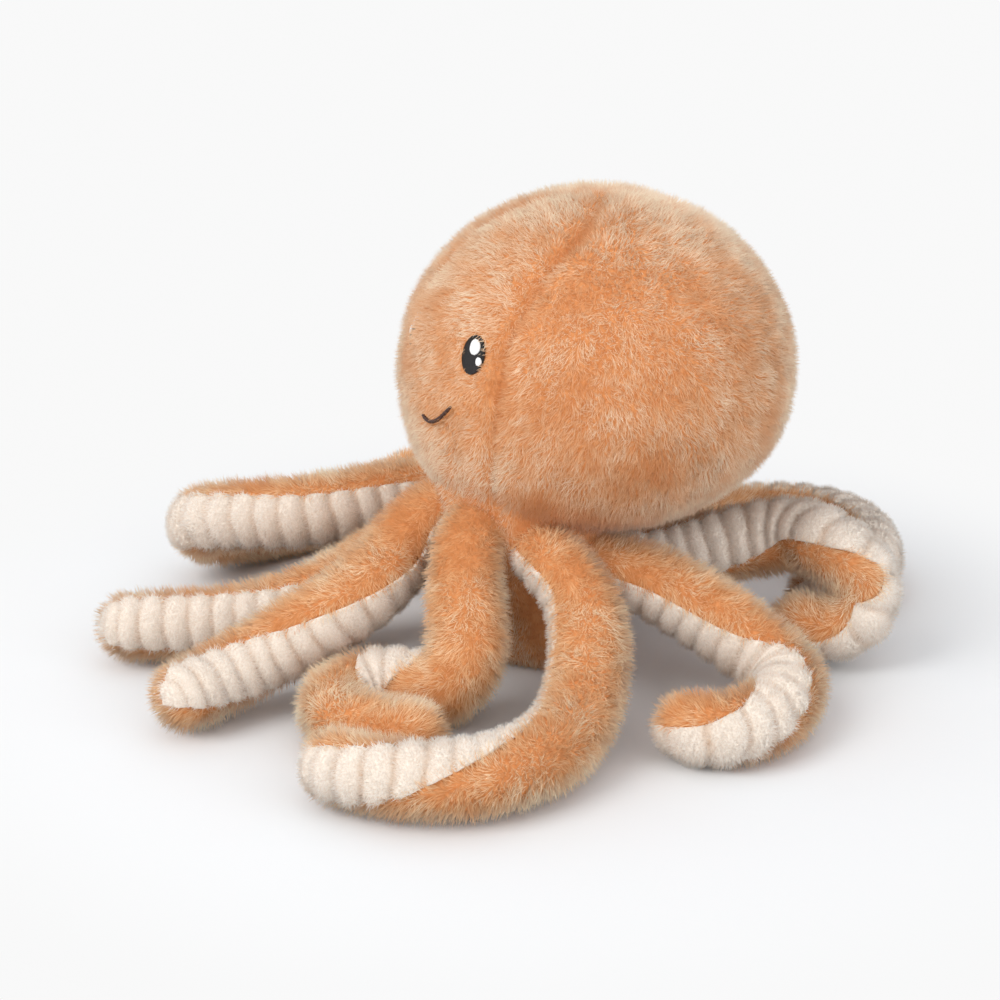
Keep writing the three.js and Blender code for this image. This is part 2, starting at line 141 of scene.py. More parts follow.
def new_material(name, roughness, shine, sheen=0.0, sheen_tint=(1, 1, 1, 1)):
    """A material with the plain values of its main shader, and its node tree."""
    material = bpy.data.materials.new(name)
    material.use_nodes = True
    shader = material.node_tree.nodes["Principled BSDF"]
    shader.inputs["Roughness"].default_value = roughness
    shader.inputs["Specular IOR Level"].default_value = shine
    shader.inputs["Sheen Weight"].default_value = sheen
    shader.inputs["Sheen Roughness"].default_value = 0.5
    shader.inputs["Sheen Tint"].default_value = sheen_tint
    return material, material.node_tree, shader


h = FLOOR_HALF
floor_mesh = bpy.data.meshes.new("floor")
floor_mesh.from_pydata([(-h, -h, 0), (h, -h, 0), (h, h, 0), (-h, h, 0)], [], [(0, 1, 2, 3)])
floor = put("floor", floor_mesh)
floor_paint, floor_tree, floor_shader = new_material("floor_paper", roughness=0.9, shine=0.1)
floor_shader.inputs["Base Color"].default_value = FLOOR_PAPER
# Away from the toy the paper is seen as plain white, as the backdrop is
paper_white = add_node(floor_tree, "ShaderNodeEmission", {"Color": PLAIN_WHITE})
paper_place = floor_tree.nodes.new("ShaderNodeTexCoord")
paper_reach = add_node(floor_tree, "ShaderNodeVectorMath", operation="LENGTH")
paper_fade = add_node(floor_tree, "ShaderNodeMapRange", {"From Min": SHADOW_REACH, "From Max": WHITE_REACH},
                      interpolation_type="SMOOTHSTEP")
paper_seen = add_node(floor_tree, "ShaderNodeMath", operation="MULTIPLY")
floor_tree.links.new(paper_place.outputs["Object"], paper_reach.inputs[0])
floor_tree.links.new(paper_reach.outputs["Value"], paper_fade.inputs["Value"])
floor_tree.links.new(paper_fade.outputs["Result"], paper_seen.inputs[0])
floor_tree.links.new(seen_ray(floor_tree), paper_seen.inputs[1])
mix_shaders(floor_tree, paper_seen.outputs[0], floor_shader, paper_white, floor_tree.nodes["Material Output"])
floor_mesh.materials.append(floor_paint)

# Body: head and base
# The stuffed head and the base under it, sewn at the neck: three panels of
# orange fur cloth meet in seams that draw in a little, over a round filling.

HEAD_RADIUS, HEAD_HALF_HEIGHT = 0.096, 0.087
HEAD_CENTRE_HEIGHT, HEAD_SET_BACK = 0.141, 0.030
NECK_RADIUS, NECK_HEIGHT, NECK_SLOPE, NECK_FORWARD = 0.046, 0.079, 0.017, 0.014
BASE_RADIUS = 0.030
BACKING_DEPTH = 0.0036
SEAM_DEPTH, SEAM_WIDTH = 0.0038, 0.0046
# The face panel's seams: the way down as a share, and the turn there in degrees
SEAM_TURN_SHARES = np.array([[0, 62], [0.1, 50], [0.29, 35], [0.42, 29],
                             [0.55, 25], [0.67, 25], [0.78, 29], [1, 41]])
UNDERCUT_FRONT, UNDERCUT_BACK = 118, 178
NECK_PULL_START = 0.62
FLOOR_GAP = 0.0003


def smooth_step(x, low, high):
    """0 up to low, 1 from high on, and a soft rise between."""
    x = np.clip((x - low) / (high - low), 0, 1)
    return x * x * (3 - 2 * x)


def neck_ring(turn):
    """The neck seam, a tilted ring, by the turn from the face."""
    return np.stack([NECK_RADIUS * np.sin(turn), -NECK_FORWARD - NECK_RADIUS * np.cos(turn),
                     NECK_HEIGHT + NECK_SLOPE * np.cos(turn)], -1)


def body_point(turn, down):
    """The outside of the body: down is 0 at the crown, 1 at the neck, 2 at the rim of the base."""
    turn, down = np.broadcast_arrays(np.asarray(turn, float), np.asarray(down, float))
    ring = neck_ring(turn)
    end = np.radians(UNDERCUT_FRONT + (UNDERCUT_BACK - UNDERCUT_FRONT) / 2 * (1 - np.cos(turn)))

    def egg(dip):
        return np.stack([HEAD_RADIUS * np.sin(dip) * np.sin(turn),
                         HEAD_SET_BACK - HEAD_RADIUS * np.sin(dip) * np.cos(turn),
                         HEAD_CENTRE_HEIGHT + HEAD_HALF_HEIGHT * np.cos(dip)], -1)

    pull = smooth_step(down, NECK_PULL_START, 1)[..., None]
    head = egg(down * end) + pull * (ring - egg(end))
    depth = np.clip(down - 1, 0, 1)
    radius = BASE_RADIUS + (NECK_RADIUS - BASE_RADIUS) * (1 - depth ** 2.5) ** 0.4
    base = np.stack([radius * np.sin(turn), -NECK_FORWARD * (1 - depth ** 2) - radius * np.cos(turn),
                     ring[..., 2] * (1 - depth)], -1)
    return np.where((down <= 1)[..., None], head, base)


def unit(v):
    """Vectors at length 1."""
    return v / np.maximum(np.linalg.norm(v, axis=-1, keepdims=True), 1e-12)


def body_frame(turn, down):
    """The outward normal of the body and the way down along it."""
    step = 0.01
    # Kept a little off the crown and the rim of the base, where all turns meet in one point
    below, above = np.minimum(down + step, 1.999), np.maximum(down - step, 0.001)
    along = body_point(turn, below) - body_point(turn, above)
    level = np.clip(down, 0.004, 2)
    around = body_point(turn + step, level) - body_point(turn - step, level)
    return unit(np.cross(along, around)), unit(along)


def grid_mesh(name, outer, inner=None, wrapped=False):
    """A mesh between two grids of points, closed, or over one, round or not; like points are left for
    finish_mesh to merge.
    """
    grids = [outer] if inner is None else [outer, inner]
    rows, cols = outer.shape[:2]
    span = cols if wrapped else cols - 1
    faces = []
    for k in range(len(grids)):
        start = k * rows * cols
        i, j = np.meshgrid(np.arange(rows - 1), np.arange(span), indexing="ij")
        a, b = start + i * cols + j, start + i * cols + (j + 1) % cols
        c, d = start + (i + 1) * cols + (j + 1) % cols, start + (i + 1) * cols + j
        quad = np.stack([a, b, c, d] if k == 0 else [d, c, b, a], -1).reshape(-1, 4)
        faces += quad.tolist()
    if inner is not None:
        shift = rows * cols
        rims = [(row * cols + j, row * cols + (j + 1) % cols, row == 0)
                for row in (0, rows - 1) for j in range(span)]
        if not wrapped:
            rims += [(i * cols + col, (i + 1) * cols + col, col != 0)
                     for i in range(rows - 1) for col in (0, cols - 1)]
        for a, b, onward in rims:
            faces.append([a, a + shift, b + shift, b] if onward else [b, b + shift, a + shift, a])
    mesh = bpy.data.meshes.new(name)
    mesh.from_pydata(np.concatenate([g.reshape(-1, 3) for g in grids]).tolist(), [], faces)
    return mesh


def finish_mesh(mesh):
    """Merges like points, drops what that flattens and turns all faces outwards."""
    work = bmesh.new()
    work.from_mesh(mesh)
    bmesh.ops.remove_doubles(work, verts=work.verts, dist=1e-6)
    bmesh.ops.dissolve_degenerate(work, edges=work.edges, dist=1e-7)
    holes = [e for e in work.edges if e.is_boundary]
    if holes:
        bmesh.ops.holes_fill(work, edges=holes, sides=0)
    bmesh.ops.recalc_face_normals(work, faces=work.faces)
    work.to_mesh(mesh)
    work.free()
    mesh.shade_smooth()
    return mesh


def show(name, mesh, material):
    """A piece of the object, at the origin with its place in its mesh."""
    mesh.materials.append(material)
    return put(name, mesh)


FACE_COLUMNS, SIDE_COLUMNS, HEAD_ROWS, BASE_ROWS = 44, 66, 96, 30


def seam_turn(down):
    """The turn of the face panel's left seam."""
    return np.radians(np.interp(np.minimum(down, 1), SEAM_TURN_SHARES[:, 0], SEAM_TURN_SHARES[:, 1]))


def body_turns(down):
    """The turns of one row's columns: the face panel first, then the left and right sides."""
    seam = float(seam_turn(down))
    return np.concatenate([np.linspace(-seam, seam, FACE_COLUMNS + 1)[:-1],
                           np.linspace(seam, math.pi, SIDE_COLUMNS + 1)[:-1],
                           np.linspace(math.pi, 2 * math.pi - seam, SIDE_COLUMNS + 1)[:-1]])


body_downs = np.concatenate([np.linspace(0, 1, HEAD_ROWS), np.linspace(1, 2, BASE_ROWS)[1:]])
body_turn_grid = np.array([body_turns(d) for d in body_downs])
body_down_grid = np.repeat(body_downs[:, None], body_turn_grid.shape[1], 1)
body_out, body_way = body_frame(body_turn_grid, body_down_grid)
body_out[0] = (0, 0, 1)
body_skin = body_point(body_turn_grid, body_down_grid)
girth = np.hypot(body_skin[..., 0], body_skin[..., 1] - HEAD_SET_BACK)
seam_grid = seam_turn(body_downs)[:, None]
wrapped_turn = (body_turn_grid + math.pi) % (2 * math.pi) - math.pi
to_seam, to_rear = np.abs(np.abs(wrapped_turn) - seam_grid), np.abs(np.abs(wrapped_turn) - math.pi)
seam_distance = np.minimum(to_seam, to_rear) * girth
# The cloth draws in along the seams, more in some places than in others, and less low down
on_head = smooth_step(1.02 - body_down_grid, 0, 0.04)
ripple = 1 + 0.3 * np.sin(body_down_grid * 31 + 1.5) + 0.2 * np.sin(body_down_grid * 67)
shallower = 1 - 0.3 * smooth_step(body_down_grid, 0.5, 0.8)
crease = (np.exp(-(seam_distance / (SEAM_WIDTH * ripple)) ** 2) * on_head * shallower
          * smooth_step(body_down_grid, 0.0, 0.1))
body_skin = body_skin - body_out * (BACKING_DEPTH + SEAM_DEPTH * crease)[..., None]
body_skin[..., 2] = np.maximum(body_skin[..., 2], FLOOR_GAP)
body_skin[-1, :, 2] = FLOOR_GAP


def linear(*srgb):
    """A colour as seen, in 0 to 255, as the linear values that a shader takes."""
    c = np.array(srgb) / 255
    return tuple(np.where(c <= 0.04045, c / 12.92, ((c + 0.055) / 1.055) ** 2.4)) + (1,)


def colour_ramp(tree, *stops):
    """A ramp through places and their colours, from the lowest to the highest."""
    node = tree.nodes.new("ShaderNodeValToRGB")
    elements = node.color_ramp.elements
    for number, (place, colour) in ((0, stops[0]), (1, stops[-1])):
        elements[number].position = place
        elements[number].color = colour
    for place, colour in stops[1:-1]:
        elements.new(place).color = colour
    return node


def backing_cloth(name, low, high):
    """The knitted backing that shows where the pile parts."""
    cloth, tree, shader = new_material(name, roughness=0.95, shine=0.1)
    where = tree.nodes.new("ShaderNodeTexCoord")
    knit = add_node(tree, "ShaderNodeTexNoise", {"Scale": 420, "Detail": 3})
    ramp = colour_ramp(tree, (0.35, low), (0.65, high))
    tree.links.new(where.outputs["Object"], knit.inputs["Vector"])
    tree.links.new(knit.outputs["Fac"], ramp.inputs["Fac"])
    tree.links.new(ramp.outputs["Color"], shader.inputs["Base Color"])
    return cloth


orange_backing = backing_cloth("orange_backing", linear(206, 134, 82), linear(226, 158, 104))
body_grid = np.concatenate([body_skin, np.repeat([[[0.0, 0.0, FLOOR_GAP]]], body_skin.shape[1], 1)])
body_mesh = finish_mesh(grid_mesh("body_padding", body_grid[::-1], wrapped=True))
body_padding = show("body_padding", body_mesh, orange_backing)
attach(body_padding, "body")
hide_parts("face_panel", "left_side_panel", "right_side_panel", "base_panel",
            "head_stuffing", "pellet_bag")

# Orange fur
# Soft polyester pile on the knitted backing, about 6 mm long on the head and
# 7 mm on the arms, leaning down and outwards and gathered by use into tufts.

SHEEN_TINT = (1, 0.84, 0.68, 1)
PILE_SOFTNESS = 0.75  # how far a strand takes the light as the cloth under it does
CLOTH_SHARE = 1.5  # the plain round of the cloth against its grooves, in that light
STRAND_FLOOR = 0.0004
# Patterns in the cloth by their scale, and how much each bends the strands or changes their
# tone, then how stray the strands are and their lengths as shares of the pile's
SWIRL_SCALE, FINE_SCALE, SWIRL_SHARE, FINE_SHARE = 95, 420, 2.2, 1.5
PATCH_SCALE, SPECKLE_SCALE, PATCH_SHARE, SPECKLE_SHARE = 38, 210, 1.5, 0.9
STRAND_SHARE, MEAN_TONE = 0.3, 0.85
RUFFLE, SHORTEST, LONGEST = 0.8, 0.7, 1.15


def pile_material(name, root, deep, mid, light, sheen):
    """Fur colour by two values kept in each strand's map: its tone, partly random and partly painted light
    and shade, and the way from root to tip, darker at the root as painted shade in the pile.
    """
    pile, tree, shader = new_material(name, roughness=0.8, shine=0.15, sheen=sheen, sheen_tint=SHEEN_TINT)
    place = add_node(tree, "ShaderNodeUVMap", uv_map="OFBake")
    parts = tree.nodes.new("ShaderNodeSeparateXYZ")
    shade = colour_ramp(tree, (0.0, deep), (0.35, mid), (0.85, light))
    # Painted shade deep in the pile: each strand runs from the darker root colour up to its tone
    tip = colour_ramp(tree, (0.0, (0, 0, 0, 1)), (0.75, (1, 1, 1, 1)))
    mix = add_node(tree, "ShaderNodeMix", data_type="RGBA")
    mix.inputs["A"].default_value = root
    tree.links.new(place.outputs["UV"], parts.inputs[0])
    tree.links.new(parts.outputs["X"], shade.inputs["Fac"])
    tree.links.new(parts.outputs["Y"], tip.inputs["Fac"])
    tree.links.new(tip.outputs["Color"], mix.inputs["Factor"])
    tree.links.new(shade.outputs["Color"], mix.inputs["B"])
    tree.links.new(mix.outputs["Result"], shader.inputs["Base Color"])
    return pile


def pile_tree():
    """Geometry nodes that grow strands on a cloth: one short closed spike for each point."""
    tree = bpy.data.node_groups.new("fur_pile", "GeometryNodeTree")
    links = tree.links
    tree.interface.new_socket("Geometry", in_out="INPUT", socket_type="NodeSocketGeometry")
    for label, kind in (("Strands per square metre", "Float"), ("Length", "Float"), ("Width", "Float"),
                        ("Lean", "Float"), ("Tuft", "Float"), ("Seed", "Int"), ("Pile", "Material")):
        tree.interface.new_socket(label, in_out="INPUT", socket_type="NodeSocket" + kind)
    tree.interface.new_socket("Geometry", in_out="OUTPUT", socket_type="NodeSocketGeometry")
    given = tree.nodes.new("NodeGroupInput").outputs
    result = tree.nodes.new("NodeGroupOutput")

    def feed(node, **sources):
        """Links or sets a node's sockets, by label or as _0 by place, and gives its first output."""
        for label, source in sources.items():
            socket = node.inputs[int(label[1:])] if label[0] == "_" else node.inputs[label]
            if hasattr(source, "links"):
                links.new(source, socket)
            else:
                socket.default_value = source
        return node.outputs[0]

    def math_node(operation, a, b):
        return feed(add_node(tree, "ShaderNodeMath", operation=operation), _0=a, _1=b)

    def vector_node(operation, a, b):
        return feed(add_node(tree, "ShaderNodeVectorMath", operation=operation), _0=a, _1=b)

    def scaled(vector, scale):
        return feed(add_node(tree, "ShaderNodeVectorMath", operation="SCALE"), _0=vector, Scale=scale)

    def attribute(name, kind):
        node = add_node(tree, "GeometryNodeInputNamedAttribute", {"Name": name}, data_type=kind)
        return node.outputs["Attribute"]

    def store(geometry, name, kind, domain, value):
        node = add_node(tree, "GeometryNodeStoreNamedAttribute", {"Name": name},
                        data_type=kind, domain=domain)
        return feed(node, Geometry=geometry, Value=value)

    def noise(scale, output="Color", detail=1.0):
        return add_node(tree, "ShaderNodeTexNoise", {"Scale": scale, "Detail": detail}).outputs[output]

    def chance(kind, low, high, seed):
        node = add_node(tree, "FunctionNodeRandomValue", data_type=kind)
        feed(node, Min=low, Max=high, Seed=seed)
        return node.outputs["Value"]

    scatter = tree.nodes.new("GeometryNodeDistributePointsOnFaces")
    density = math_node("MULTIPLY", given["Strands per square metre"], attribute("growth", "FLOAT"))
    feed(scatter, Mesh=given["Geometry"], Density=density, Seed=given["Seed"])

    middle = (0.5, 0.5, 0.5)
    swirl = scaled(vector_node("SUBTRACT", noise(SWIRL_SCALE), middle), given["Tuft"])
    fine = scaled(vector_node("SUBTRACT", noise(FINE_SCALE), middle), given["Tuft"])
    lean = scaled(attribute("comb", "FLOAT_VECTOR"), given["Lean"])
    stray = scaled(chance("FLOAT_VECTOR", (-0.5, -0.5, -0.5), middle, 3), RUFFLE)
    way = vector_node("ADD", vector_node("ADD", scaled(swirl, SWIRL_SHARE), scaled(fine, FINE_SHARE)), lean)
    way = vector_node("ADD", scatter.outputs["Normal"], vector_node("ADD", stray, way))
    align = add_node(tree, "FunctionNodeAlignRotationToVector", axis="Z")
    feed(align, Vector=way)

    spike = add_node(tree, "GeometryNodeMeshCone", {"Vertices": 3, "Radius Top": 0, "Depth": 1},
                     fill_type="NGON")
    links.new(given["Width"], spike.inputs["Radius Bottom"])
    rest_place = tree.nodes.new("GeometryNodeInputPosition").outputs[0]
    height = tree.nodes.new("ShaderNodeSeparateXYZ")
    links.new(rest_place, height.inputs[0])
    strand = store(spike.outputs["Mesh"], "along", "FLOAT", "POINT", height.outputs["Z"])

    patchy, speckle = noise(PATCH_SCALE, "Fac", 2.0), noise(SPECKLE_SCALE, "Fac", 1.0)
    tone = math_node("ADD", math_node("MULTIPLY", patchy, PATCH_SHARE),
                    math_node("MULTIPLY", speckle, SPECKLE_SHARE))
    tone = math_node("ADD", tone, math_node("MULTIPLY", chance("FLOAT", 0.0, 1.0, 0), STRAND_SHARE))
    # The bed's own tone, added here to the random patches, is painted light and shade
    tone = math_node("ADD", math_node("SUBTRACT", tone, MEAN_TONE), attribute("tone", "FLOAT"))
    plain_round = scaled(attribute("facing", "FLOAT_VECTOR"), CLOTH_SHARE)
    rise = vector_node("ADD", plain_round, scatter.outputs["Normal"])
    points = store(scatter.outputs["Points"], "shade", "FLOAT", "POINT", tone)
    points = store(points, "rise", "FLOAT_VECTOR", "POINT", rise)

    tall = math_node("MULTIPLY", given["Length"], chance("FLOAT", SHORTEST, LONGEST, 7))
    tall = math_node("MULTIPLY", tall, attribute("pile", "FLOAT"))
    size = add_node(tree, "ShaderNodeCombineXYZ", {"X": 1, "Y": 1})
    grow = tree.nodes.new("GeometryNodeInstanceOnPoints")
    feed(grow, Points=points, Instance=strand, Rotation=align.outputs["Rotation"], Scale=feed(size, Z=tall))
    real = tree.nodes.new("GeometryNodeRealizeInstances")
    feed(real, Geometry=grow.outputs["Instances"])

    spot = tree.nodes.new("ShaderNodeSeparateXYZ")
    links.new(tree.nodes.new("GeometryNodeInputPosition").outputs[0], spot.inputs[0])
    lifted = math_node("MAXIMUM", spot.outputs["Z"], STRAND_FLOOR)
    settled = feed(tree.nodes.new("ShaderNodeCombineXYZ"), X=spot.outputs["X"], Y=spot.outputs["Y"], Z=lifted)
    laid = feed(tree.nodes.new("GeometryNodeSetPosition"), Geometry=real.outputs[0], Position=settled)
    marks = feed(tree.nodes.new("ShaderNodeCombineXYZ"), X=attribute("shade", "FLOAT"),
                 Y=attribute("along", "FLOAT"))
    marked = store(laid, "OFBake", "FLOAT2", "CORNER", marks)
    dyed = feed(tree.nodes.new("GeometryNodeSetMaterial"), Geometry=marked, Material=given["Pile"])
    links.new(dyed, result.inputs["Geometry"])
    return tree


fur_tree = pile_tree()


def grow_pile(name, points, facing, comb, growth, pile, tone, settings, wrapped=False):
    """Strands on one grid of backing points, as a plain mesh piece."""
    bed_mesh = grid_mesh(name + "_bed", points, wrapped=wrapped)
    vectors, values = {"facing": facing, "comb": comb}, {"growth": growth, "pile": pile, "tone": tone}
    for label, numbers in (vectors | values).items():
        kind, field = ("FLOAT_VECTOR", "vector") if label in vectors else ("FLOAT", "value")
        layer = bed_mesh.attributes.new(label, kind, "POINT")
        layer.data.foreach_set(field, np.ascontiguousarray(numbers, np.float32).ravel())
    bed = put(name + "_bed", bed_mesh)
    grower = bed.modifiers.new("pile", "NODES")
    grower.node_group = fur_tree
    for item in fur_tree.interface.items_tree:
        if item.in_out == "INPUT" and item.name in settings:
            grower[item.identifier] = settings[item.name]
    bpy.context.view_layer.update()
    grown = bpy.data.meshes.new_from_object(bed.evaluated_get(bpy.context.evaluated_depsgraph_get()))
    bed.modifiers.remove(grower)
    bpy.data.objects.remove(bed)
    bpy.data.meshes.remove(bed_mesh)
    grown.name = name
    count = len(grown.vertices)
    # Each strand is lit mostly as the cloth round it is, or single strands would glitter
    cloth_way, own_way = np.empty(count * 3, np.float32), np.empty(count * 3, np.float32)
    grown.attributes["rise"].data.foreach_get("vector", cloth_way)
    grown.vertex_normals.foreach_get("vector", own_way)
    soft_way = unit(unit(cloth_way.reshape(-1, 3)) * PILE_SOFTNESS
                    + own_way.reshape(-1, 3) * (1 - PILE_SOFTNESS))
    for label in ("facing", "comb", "growth", "pile", "tone", "shade", "along", "rise"):
        if label in grown.attributes:
            grown.attributes.remove(grown.attributes[label])
    grown.shade_smooth()
    grown.normals_split_custom_set_from_vertices(soft_way.tolist())
    piece = put(name, grown)
    piece.visible_shadow = False  # light passes between the thin strands
    return piece


orange_fur = pile_material("orange_fur", linear(216, 146, 95), linear(220, 140, 82),
                           linear(238, 184, 138), linear(255, 234, 204), sheen=0.6)

# Eyes and mouth keep the pile off: their places on the face, in turn and down
EYE_TURNS = {"left": math.radians(13.8), "right": math.radians(-23.5)}
EYE_PARTINGS = (1.0, 0.8)
EYE_DOWN, EYE_WIDTH, EYE_HEIGHT = 0.606, 0.0135, 0.0185
MOUTH_TURN, MOUTH_DOWN, MOUTH_WIDTH = math.radians(3.3), 0.801, 0.0232
MOUTH_DROP, MOUTH_TILT = 0.0051, 0.0046
MOUTH_CLEAR, MOUTH_FULL = 0.0008, 0.0022
EYE_COVER = 1.3  # how far the pile beside the far eye is swept over it
FALL_TOP, FALL_SPAN = 0.556, 0.1
# Painted shade in patches beside the seams: how wide it reaches
SEAM_SHADE_WIDTH = 0.009
# Painted shade low on each side of the head: its place in turn and down
SIDE_SHADE_TURN, SIDE_SHADE_DOWN = 1.46, 0.78

# Metres on the face for one radian of turn, and for going the whole way down
face_girth = HEAD_RADIUS * 0.94
face_drop = body_point(0, FALL_TOP + FALL_SPAN) - body_point(0, FALL_TOP)
face_fall = float(np.linalg.norm(face_drop)) / FALL_SPAN
bare = np.ones_like(body_down_grid)
for eye_turn, parting in zip(EYE_TURNS.values(), EYE_PARTINGS):
    across = (wrapped_turn - eye_turn) * face_girth / (EYE_WIDTH / 2)
    upward = (body_down_grid - EYE_DOWN) * face_fall / (EYE_HEIGHT / 2)
    bare *= smooth_step(np.hypot(across, upward), parting, parting + 0.1)


def smile_down(share):
    """The way down of the smile's line, by the share from its middle to either end."""
    return MOUTH_DOWN - (share ** 2 * MOUTH_DROP + share * MOUTH_TILT) / face_fall


smile = (wrapped_turn - MOUTH_TURN) * face_girth / (MOUTH_WIDTH / 2)
smile_line = smile_down(np.clip(smile, -1, 1))
smile_gap = np.abs(body_down_grid - smile_line) * face_fall + 0.003 * np.maximum(np.abs(smile) - 1, 0)
bare *= smooth_step(smile_gap, MOUTH_CLEAR, MOUTH_FULL)

# Tone is how light the pile is, set here as painted light and shade: a painted highlight on the crown
# and low on the face, and painted shade in the seams and in patches along them, at the neck beside
# the face and low on each side of the head
crown = 1 - smooth_step(body_down_grid, 0.1, 0.4)
seam_shade_spots = np.clip(0.35 + 0.65 * np.sin(body_down_grid * 13 - 0.9), 0, 1)
seam_shade = np.exp(-(seam_distance / SEAM_SHADE_WIDTH) ** 2) * seam_shade_spots * on_head
beside_face = smooth_step(np.abs(wrapped_turn), seam_grid, seam_grid + 0.35)
low_head, chin = smooth_step(body_down_grid, 0.84, 1.0), smooth_step(body_down_grid, 0.7, 0.85)
side_shade = np.exp(-((np.abs(wrapped_turn) - SIDE_SHADE_TURN) / 0.17) ** 2
                - ((body_down_grid - SIDE_SHADE_DOWN) / 0.1) ** 2)
head_light_and_shade = (0.04 + 0.3 * crown - 0.45 * crease - 0.32 * seam_shade - 0.55 * low_head * beside_face
             + 0.3 * chin * (1 - beside_face) - 0.35 * side_shade)

near_neck = smooth_step(body_down_grid, 0.85, 1)
head_growth = bare * smooth_step(body_down_grid, 0.0, 0.02) * (1 - 0.35 * near_neck)
low_face = smooth_step(body_down_grid, 0.5, 0.6)
head_pile = 1 - 0.25 * crease
head_pile = head_pile * (1 - 0.25 * low_face * (np.abs(wrapped_turn) < seam_grid))
beside_eye = np.exp(-((wrapped_turn - EYE_TURNS["right"] - 0.1) / 0.05) ** 2
                    - ((body_down_grid - EYE_DOWN + 0.03) / 0.09) ** 2)
head_growth = head_growth * (1 + 2 * beside_eye)
head_pile = head_pile * (1 + 0.6 * beside_eye)
head_comb = body_way * 0.9 + np.cross(body_way, body_out) * EYE_COVER * beside_eye[..., None]

neck_row = int(np.searchsorted(body_downs, 1.0))
rear_start = FACE_COLUMNS + SIDE_COLUMNS
panel_columns = {
    "face_panel_fur": np.arange(0, FACE_COLUMNS + 1),
    "left_side_panel_fur": np.arange(FACE_COLUMNS, rear_start + 1),
    "right_side_panel_fur": np.arange(rear_start, rear_start + SIDE_COLUMNS + 1) % body_skin.shape[1],
}
head_grids = (body_skin, body_out, head_comb, head_growth, head_pile, head_light_and_shade)
head_settings = {"Strands per square metre": 1.24e6, "Length": 0.0060, "Width": 0.00022,
                 "Lean": 0.5, "Tuft": 0.95, "Pile": orange_fur}
for number, (name, columns) in enumerate(panel_columns.items()):
    parts = [grid[:neck_row + 1][:, columns][::-1] for grid in head_grids]
    fur = grow_pile(name, *parts, {**head_settings, "Seed": number + 1})
    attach(fur, "body")

# The base under the neck wears the same fur, cut shorter and with a little more painted shade, as it sits
# under the head
base_grids = (body_skin, body_out, head_comb, np.ones_like(head_pile), head_pile * 0.7, head_light_and_shade - 0.1)
base_settings = {**head_settings, "Strands per square metre": 0.9e6, "Seed": 9}
base_fur = grow_pile("base_panel_fur", *[grid[neck_row:][::-1] for grid in base_grids],
                     base_settings, wrapped=True)
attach(base_fur, "body")

# Arms
# Eight stuffed tubes, fur cloth on top and ribbed cream plush underneath,
# sewn along two seams, closed by a round tip and curled as they lie.

ARM_REACH = 0.200
ROOT_RADIUS, MID_RADIUS, TIP_RADIUS = 0.0165, 0.019, 0.017
RIB_PITCH, RIB_DEPTH, RIB_SWAY = 0.0115, 0.0031, 0.0012
CREAM_HALF_ANGLE = math.radians(56)
ROOT_INSIDE, BEND_REACH = 0.020, 0.035
CLOTH_START, ROOT_GAP = 0.012, 0.0003
TOP_FLOOR_GAP, RIB_FLOOR_GAP = 0.0004, 0.0002
TIGHTEST = 0.85  # how near the cloth may come to the middle of a curl, as a share
TOP_INSET, UNDER_INSET, LINING_INSET = 0.0034, 0.0010, 0.0060
TOP_ROW, TOP_DOME_ROWS, TOP_COLUMNS = 0.0025, 8, 33
UNDER_ROW, UNDER_DOME_ROWS, UNDER_COLUMNS = 0.0013, 20, 25
TOP_SEED, UNDER_SEED = 20, 40
LINE_POINTS = 801
